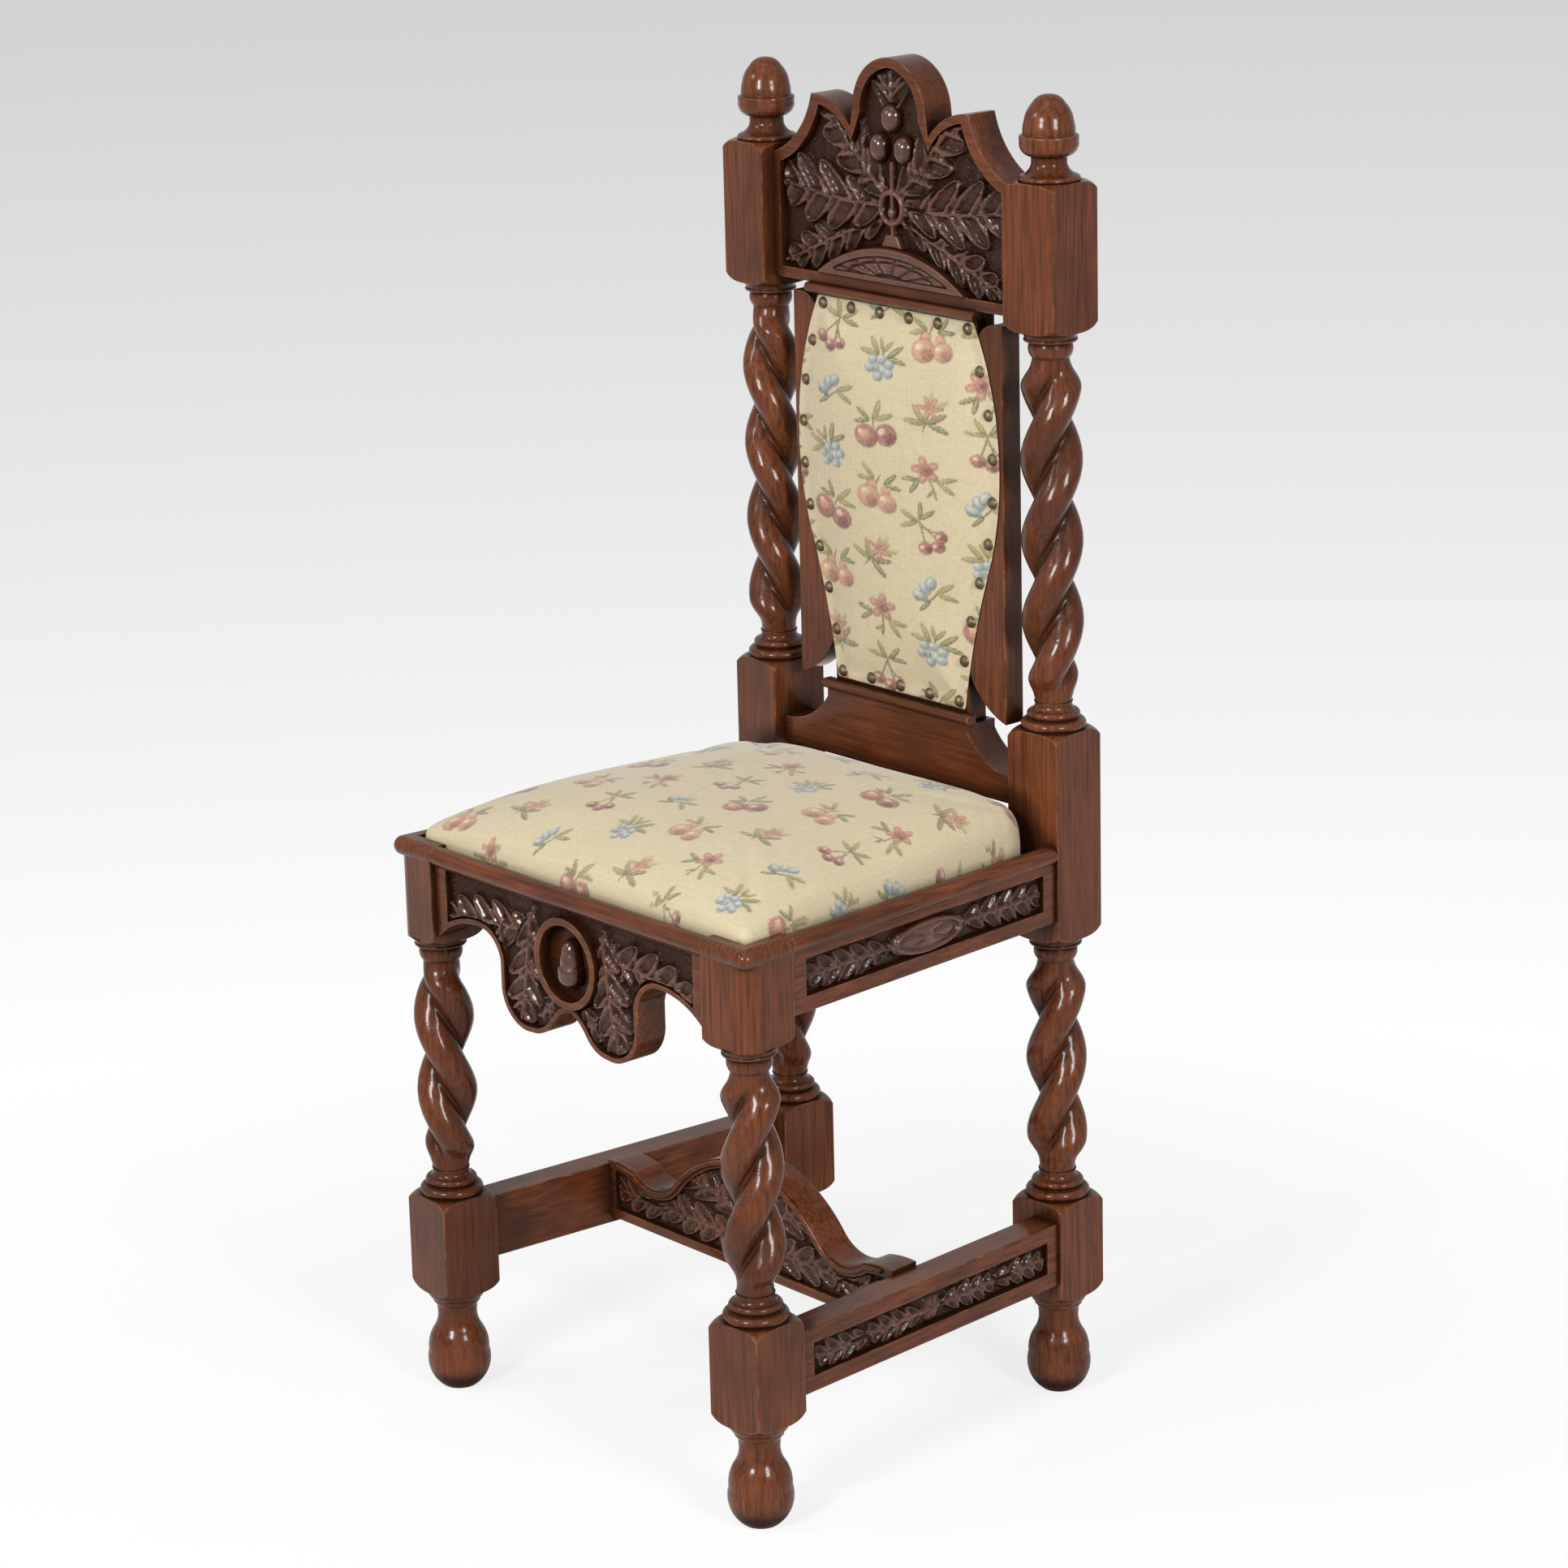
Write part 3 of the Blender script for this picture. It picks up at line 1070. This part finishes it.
def nail_places():
    """Middles of the nail heads round the back panel: rows along the top and bottom, and down the two
    sides."""
    bottom, right, top, _ = panel_edges(6.4 * MM, 200)
    sides = resampled(right, 10)[1:-1]
    return np.concatenate([resampled(top, 6), resampled(bottom, 5), sides, sides * (-1, 1)])


def pad_back_panel():
    """Padded panel of the back: flat under the nails, then rising as 1 - exp(-distance from the nailed
    edge), with a small dip and short pull lines at every nail."""
    soft = settings().upholstery
    count = 61
    plan = patch_grid(*panel_edges(0.0, count))
    a = np.linspace(-1, 1, count)
    half = plan[:, -1, 0][:, None]
    inward = np.minimum((1 - np.abs(a))[None, :] * half, (1 - np.abs(a))[:, None] * PANEL_HALF_HEIGHT)
    lift = 1 - np.exp(-np.maximum(inward - 10 * MM, 0) / (17 * MM))
    face = BOARD_FACE - 1.3 * MM - soft.back_crown * lift
    front = np.stack([plan[..., 0], face, plan[..., 1]], -1)
    rim = grid_rim(count, count)
    behind = front.reshape(-1, 3)[rim].copy()
    behind[:, 1] = PANEL_BACK
    back = count * count + np.arange(len(rim))
    inner = plan[1:-1, 1:-1]
    flat = np.stack([inner[..., 0], np.full(inner.shape[:2], PANEL_BACK), inner[..., 1]], -1)
    index = np.full((count, count), -1)
    index[1:-1, 1:-1] = back.max() + 1 + np.arange((count - 2) ** 2).reshape(count - 2, count - 2)
    index.ravel()[rim] = back
    under = np.stack([index[:-1, :-1], index[1:, :-1], index[1:, 1:], index[:-1, 1:]], -1).reshape(-1, 4)
    skirt = np.stack([rim, back, np.roll(back, -1), np.roll(rim, -1)], -1)
    points = np.concatenate([front.reshape(-1, 3), behind, flat.reshape(-1, 3)])
    piece = make_piece("back_panel", points, np.concatenate([grid_faces(count, count), skirt, under]))
    held = np.ones(len(points), bool)
    held[:count * count] = (inward < 11 * MM).ravel()
    swell(piece, held, 0.5 * soft.swell_limit)
    fine = refined(piece, 2)
    dip = np.zeros(len(fine))
    for x, z in nail_places():
        away = np.hypot(fine[:, 0] - x, fine[:, 2] - z)
        dip += 0.5 * MM * np.exp(-(away / (8 * MM)) ** 2)
    outer = fine[:, 1] < DIP_LIMIT
    fine[:, 1] = np.where(outer, np.minimum(fine[:, 1] + dip, DIP_LIMIT), fine[:, 1])
    move_points(piece, fine)
    point_values(piece, "sprig", sprig_colours(fine[:, 0] + 12 * MM, fine[:, 2] - 730 * MM, 0, (58, 50), 1.4))
    return piece


def strap_slab(line, across, half, thick):
    """Closed flat strap: a line of middles carried across both ways by half its width, thickened up and
    down, with the selvedges a little thinner than the middle."""
    s = np.linspace(-1, 1, 9)
    flat = s[None, :, None] * half * across
    rise = (thick / 2 * (1 - 0.35 * s ** 6))[None, :, None] * np.array([0, 0, 1.0])
    return np.concatenate([line[:, None] + flat + rise, (line[:, None] + flat - rise)[:, ::-1]], axis=1)


def weave_straps(name, lines, across, half, thick):
    """Straps of one direction as one piece: each a closed tube of flat rings with capped ends."""
    points, quads, caps, start = [], [], [], 0
    for line in lines:
        rings = strap_slab(line, across, half, thick)
        count, sides = rings.shape[:2]
        points.append(rings.reshape(-1, 3))
        quads.append(start + tube_faces(count, sides))
        caps += [start + np.arange(sides)[::-1], start + (count - 1) * sides + np.arange(sides)]
        start += count * sides
    return make_piece(name, np.concatenate(points), np.concatenate(quads), caps)


def web_seat_frame():
    """Webbing of the seat: three straps each way, each passing over and under the others by a cosine along
    its run."""
    step = 84 * MM
    run = np.linspace(0, 1, 140)
    middle, sway, thick = 477.7 * MM, 0.72 * MM, 1.2 * MM
    y = -169.8 * MM + run * 300.2 * MM
    wave = np.cos(math.pi * (y + 19.7 * MM) / step)
    lines = [np.column_stack([np.full_like(y, x * step), y, middle + sway * wave * (-1) ** x])
             for x in (-1, 0, 1)]
    long = weave_straps("webbing_front_to_back", lines, np.array([-1.0, 0, 0]), 25 * MM, thick)
    lines = []
    for row, at in enumerate((-103.7, -19.7, 64.3)):
        reach = FRONT_AXIS[0] - 11 * MM - (at * MM - FRONT_AXIS[1]) * math.tan(SPLAY)
        x = -reach + run * 2 * reach
        wave = np.cos(math.pi * x / step) * (-1) ** row
        lines.append(np.column_stack([x, np.full_like(x, at * MM), middle + sway * wave]))
    cross = weave_straps("webbing_side_to_side", lines, np.array([0, 1.0, 0]), 25 * MM, thick)
    return long, cross


def base_cloth_sheet():
    """Hessian laid over the webbing: a thin closed sheet inside the seat's frame, its height a small
    crossed ripple."""
    count = 41
    edges = seat_edges(33.4 * MM, count)
    plan = patch_grid(*edges)
    ripple = 0.05 * MM * np.sin(plan[..., 0] / MM * 0.7) * np.sin(plan[..., 1] / MM * 0.6)
    faces = [np.dstack([plan, level * MM + ripple]).reshape(-1, 3) for level in (479.85, 479.45)]
    rim, under = grid_rim(count, count), count * count
    skirt = np.stack([rim, rim + under, np.roll(rim, -1) + under, np.roll(rim, -1)], -1)
    quads = np.concatenate([grid_faces(count, count), grid_faces(count, count, True) + under, skirt])
    piece = make_piece("base_cloth", np.concatenate(faces), quads)
    loop = rim_loop(edges)
    after = np.roll(loop, -1, axis=0)
    area = 0.5 * abs(float(np.sum(loop[:, 0] * after[:, 1] - loop[:, 1] * after[:, 0])))
    return piece, tuple(float(size) for size in np.ptp(loop, axis=0)), area


def bead_along(name, line, radius, sides=10):
    """Half-sunk round bead: a circle of the given radius carried along a line of points in a front face."""
    run = np.gradient(line, axis=0)
    run /= np.linalg.norm(run, axis=1, keepdims=True)
    front = np.array([0, -1.0, 0])
    out = np.cross(run, -front)
    angle = np.linspace(0, 2 * math.pi, sides, endpoint=False)[None, :, None]
    rings = line[:, None] + radius * (np.cos(angle) * out[:, None] + np.sin(angle) * front)
    count = len(line)
    caps = [np.arange(sides)[::-1], (count - 1) * sides + np.arange(sides)]
    return make_piece(name, rings.reshape(-1, 3), tube_faces(count, sides), caps)


def run_cross_bead():
    """Bead along the serpentine top of the cross stretcher, just inside its edge."""
    half = cross_line(3.4 * MM)[::-1]
    half = half[half[:, 0] < 166 * MM]
    line = resampled(np.concatenate([half[:0:-1] * (-1, 1), half]), 220)
    bead = np.column_stack([line[:, 0], np.full(len(line), CROSS_FACE - 0.2 * MM), line[:, 1]])
    return bead_along("cross_stretcher_bead", bead, 2.3 * MM)


# Grain of each piece of the frame

UPRIGHT = ("front_leg_right", "front_leg_left", "rear_post_right", "rear_post_left", "finial_right",
           "finial_left", "back_board")
ACROSS = ("front_seat_rail", "rear_seat_rail", "rear_seat_bearer", "front_corner_brace_right",
          "front_corner_brace_left", "rear_corner_brace_right", "rear_corner_brace_left", "cross_stretcher",
          "crest_rail", "crest_bead", "lower_back_rail", "lower_back_bead")
HANDS = ((1, "right"), (-1, "left"))
FRONT_TO_BACK = ("side_seat_rail_right", "side_seat_rail_left", "side_stretcher_right", "side_stretcher_left")


def shared(name, maker, *options):
    """Material of that name, made the first time it is asked for."""
    return bpy.data.materials.get(name) or maker(name, *options)


def dress_carving(piece, grain):
    """Gives a carved piece of the frame its oak, with the grain along that axis."""
    return dress(piece, shared("oak_carving_" + grain.lower(), waxed_oak, grain, True), "frame")


# Operators


class CHAIR_OT_wax_frame(bpy.types.Operator):
    """Gives every wooden and metal piece of the frame its finish."""
    bl_idname = "chair.wax_frame"
    bl_label = "Wax the frame"

    def execute(self, context):
        for names, grain in ((UPRIGHT, "Z"), (ACROSS, "X"), (FRONT_TO_BACK, "Y")):
            for name in names:
                dress(NODES[name], shared("oak_grain_" + grain.lower(), waxed_oak, grain))
        for name in ("crest_berries", "apron_acorn"):
            dress(NODES[name], shared("oak_carved_round", waxed_oak, "Z", False, 0.5, 3.0))
        for name, grain in (("front", "X"), ("back", "X"), ("side_right", "Y"), ("side_left", "Y")):
            dress(NODES["seat_frame_" + name], shared("beech_grain_" + grain.lower(), raw_beech, grain))
        for name in ("brace_screws", "bearer_screws", "webbing_tacks"):
            dress(NODES[name], shared("dull_steel", dull_steel))
        dress(NODES["back_nails"], shared("aged_brass", aged_brass))
        return {"FINISHED"}


class CHAIR_OT_carve_crest(bpy.types.Operator):
    """Carves the crest's field and its half-round fan."""
    bl_idname = "chair.carve_crest"
    bl_label = "Carve the crest"

    def execute(self, context):
        for piece in (carve_crest_field(), carve_lunette()):
            dress_carving(piece, "X")
        return {"FINISHED"}


class CHAIR_OT_carve_rails(bpy.types.Operator):
    """Carves the front and side seat rails."""
    bl_idname = "chair.carve_rails"
    bl_label = "Carve the seat rails"

    def execute(self, context):
        dress_carving(carve_apron(), "X")
        for hand, side in HANDS:
            dress_carving(carve_side_rail(hand, "side_rail_carving_" + side), "Y")
        return {"FINISHED"}


class CHAIR_OT_carve_stretchers(bpy.types.Operator):
    """Carves the stretchers and runs the bead along the cross stretcher's top."""
    bl_idname = "chair.carve_stretchers"
    bl_label = "Carve the stretchers"

    def execute(self, context):
        dress_carving(carve_cross_stretcher(), "X")
        for hand, side in HANDS:
            dress_carving(carve_side_stretcher(hand, "side_stretcher_carving_" + side), "Y")
        dress(run_cross_bead(), shared("oak_grain_x", waxed_oak, "X"), "frame")
        return {"FINISHED"}


class CHAIR_OT_pad_back(bpy.types.Operator):
    """Makes the nailed and padded panel of the back."""
    bl_idname = "chair.pad_back"
    bl_label = "Pad the back"

    def execute(self, context):
        cloth = shared("sprigged_cloth_back", sprigged_cloth, "Z")
        panel = dress(pad_back_panel(), cloth, "frame")
        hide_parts("back_stuffing", "back_cover")
        return {"FINISHED"}


class CHAIR_OT_pad_seat(bpy.types.Operator):
    """Makes the crowned cushion of the drop-in seat."""
    bl_idname = "chair.pad_seat"
    bl_label = "Pad the seat"

    def execute(self, context):
        cloth = shared("sprigged_cloth_seat", sprigged_cloth, "Y")
        cushion = dress(pad_seat_cushion(), cloth, "drop_in_seat")
        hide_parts("seat_stuffing", "seat_cover")
        return {"FINISHED"}


class CHAIR_OT_web_seat(bpy.types.Operator):
    """Weaves the webbing of the seat and lays the base cloth over it."""
    bl_idname = "chair.web_seat"
    bl_label = "Web the seat"

    def execute(self, context):
        long, cross = web_seat_frame()
        for strap, node in ((long, "seat_webbing_long"), (cross, "seat_webbing_cross")):
            dress(strap, shared("jute", jute), "drop_in_seat")
            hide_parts(node)
        cloth, size, area = base_cloth_sheet()
        dress(cloth, shared("jute", jute), "drop_in_seat")
        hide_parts("seat_base_cloth")
        return {"FINISHED"}


class CHAIR_OT_set_stage(bpy.types.Operator):
    """Lays the floor and sets the lights, the backdrop and the camera."""
    bl_idname = "chair.set_stage"
    bl_label = "Set the stage"

    def execute(self, context):
        lay_floor()
        set_backdrop()
        set_lamps()
        set_camera()
        return {"FINISHED"}


# Stage


def lay_floor():
    """Pale floor: a flat disc of rings whose radius grows evenly, fading into the backdrop at its edge."""
    rings, sides = 60, 96
    radius = np.linspace(0.02, 1.6, rings)[:, None]
    angle = np.linspace(0, 2 * math.pi, sides, endpoint=False)
    disc = np.stack([radius * np.cos(angle), radius * np.sin(angle), np.zeros((rings, sides))], -1)
    piece = make_piece("floor", disc.reshape(-1, 3), tube_faces(rings, sides, True), [np.arange(sides)])
    look = Surface("pale_floor")
    tone = look.noise(3, (1, 1, 1), 2, 0.5)
    colour = look.ramp(tone, (0.3, (0.86, 0.86, 0.86)), (0.7, (0.9, 0.9, 0.9)))
    look.set(Base_Color=colour, Roughness=0.9, Specular_IOR_Level=0.0)
    seen = look.node("LightPath").outputs["Is Camera Ray"]
    glow = look.node("Emission", {"Color": (1, 1, 1, 1), "Strength": 1.0})
    part = look.node("MixShader", {0: look.calc(seen, 0.8), 1: look.shader.outputs[0], 2: glow.outputs[0]})
    far = look.node("VectorMath", {0: look.coords}, operation="LENGTH").outputs["Value"]
    clear = look.node("BsdfTransparent")
    edge = look.node("MixShader", {0: look.span(far, 0.35, 1.1), 1: part.outputs[0], 2: clear.outputs[0]})
    out = look.tree.nodes["Material Output"]
    look.tree.links.new(edge.outputs[0], out.inputs["Surface"])
    dress(piece, look.material)
    piece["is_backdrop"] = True


def set_backdrop():
    """Backdrop that is white below and light grey above, for rays that see it; dim and even for light."""
    world = bpy.data.worlds.new("studio")
    bpy.context.scene.world = world
    world.use_nodes = True
    tree = world.node_tree
    tree.nodes.clear()
    add = functools.partial(add_node, tree)
    white = (1, 1, 1, 1)
    coords = add("TexCoord").outputs["Generated"]
    level = add("SeparateXYZ", {0: coords}).outputs["Z"]
    fade = {"Value": level, "From Min": -0.33, "From Max": -0.12, "To Min": 1.0, "To Max": 0.645}
    fall = add("MapRange", fade).outputs[0]
    seen = add("Background", {"Color": white, "Strength": fall}).outputs[0]
    even = add("Background", {"Color": white, "Strength": 0.28}).outputs[0]
    path = add("LightPath").outputs
    either = path["Is Camera Ray"]
    for ray in ("Is Glossy Ray", "Is Transmission Ray"):
        either = add("Math", {0: either, 1: path[ray]}, operation="MAXIMUM").outputs[0]
    mixed = add("MixShader", {0: either, 1: even, 2: seen}).outputs[0]
    add("OutputWorld", {"Surface": mixed})


# Name, place, size and power of each lamp
LAMPS = (("key", (0.7, -2.7, 1.9), 0.7, 70), ("fill", (2.9, -0.5, 1.7), 0.7, 57),
         ("overhead", (0.2, -0.6, 3.0), 0.8, 4), ("spark", (-1.3, -2.3, 2.5), 0.6, 20))


def set_lamps():
    """Lamps: the key in front of the chair and left of the camera, one at the chair's right, a faint one
    overhead and a broad one from the front left that catches the polish."""
    for name, place, size, power in LAMPS:
        light = bpy.data.lights.new(name, "AREA")
        light.energy = power
        light.size = size
        lamp = bpy.data.objects.new(name, light)
        lamp.location = place
        lamp.rotation_euler = (Vector((0, 0, 0.55)) - Vector(place)).to_track_quat("-Z", "Y").to_euler()
        bpy.context.scene.collection.objects.link(lamp)


def set_camera():
    """Camera at the photograph's place, looking down a little from the front right, with a slight roll."""
    scene = bpy.context.scene
    lens = bpy.data.cameras.new("camera")
    lens.sensor_width = 36
    lens.lens = 110.57
    camera = bpy.data.objects.new("camera", lens)
    place, target = Vector((2.7901, -2.3994, 1.5961)), Vector((0.0162, 0.0186, 0.5193))
    back = (place - target).normalized()
    right = Vector((0, 0, 1)).cross(back).normalized()
    up = back.cross(right)
    roll = math.radians(-1.41)
    across = right * math.cos(roll) + up * math.sin(roll)
    upright = up * math.cos(roll) - right * math.sin(roll)
    turn = Matrix((across, upright, back)).transposed().to_4x4()
    camera.matrix_world = Matrix.Translation(place) @ turn
    scene.collection.objects.link(camera)
    scene.camera = camera
    scene.view_settings.view_transform = "Standard"


# Panel and registration


class CHAIR_PT_dressing(bpy.types.Panel):
    """The chair's sizes, colours and steps."""
    bl_label = "Chair"
    bl_space_type = "VIEW_3D"
    bl_region_type = "UI"
    bl_category = "Chair"

    def draw(self, context):
        column = self.layout.column()
        for group in (settings().carving, settings().upholstery, settings().wood):
            for key in group.__annotations__:
                column.prop(group, key)
        for step in STEPS:
            column.operator(step.bl_idname)


STEPS = (CHAIR_OT_wax_frame, CHAIR_OT_carve_crest, CHAIR_OT_carve_rails, CHAIR_OT_carve_stretchers,
         CHAIR_OT_pad_back, CHAIR_OT_pad_seat, CHAIR_OT_web_seat, CHAIR_OT_set_stage)
CLASSES = (CHAIR_PG_carving, CHAIR_PG_upholstery, CHAIR_PG_wood, CHAIR_PG_settings, *STEPS, CHAIR_PT_dressing)


def register():
    """Registers the classes and gives the scene its sizes and colours."""
    for kind in CLASSES:
        bpy.utils.register_class(kind)
    bpy.types.Scene.chair_dressing = bpy.props.PointerProperty(type=CHAIR_PG_settings)


def unregister():
    """Takes the classes and the scene's sizes and colours away again."""
    del bpy.types.Scene.chair_dressing
    for kind in reversed(CLASSES):
        bpy.utils.unregister_class(kind)


def main():
    """Dresses the chair step by step."""
    register()
    bpy.ops.chair.wax_frame()
    bpy.ops.chair.carve_crest()
    bpy.ops.chair.carve_rails()
    bpy.ops.chair.carve_stretchers()
    bpy.ops.chair.pad_back()
    bpy.ops.chair.pad_seat()
    bpy.ops.chair.web_seat()
    bpy.ops.chair.set_stage()
    plain = lambda box: [[float(value) for value in corner] for corner in box]
    {"cad": plain(CAD_BOX), "visual": plain(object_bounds())}


if __name__ == "__main__":
    main()
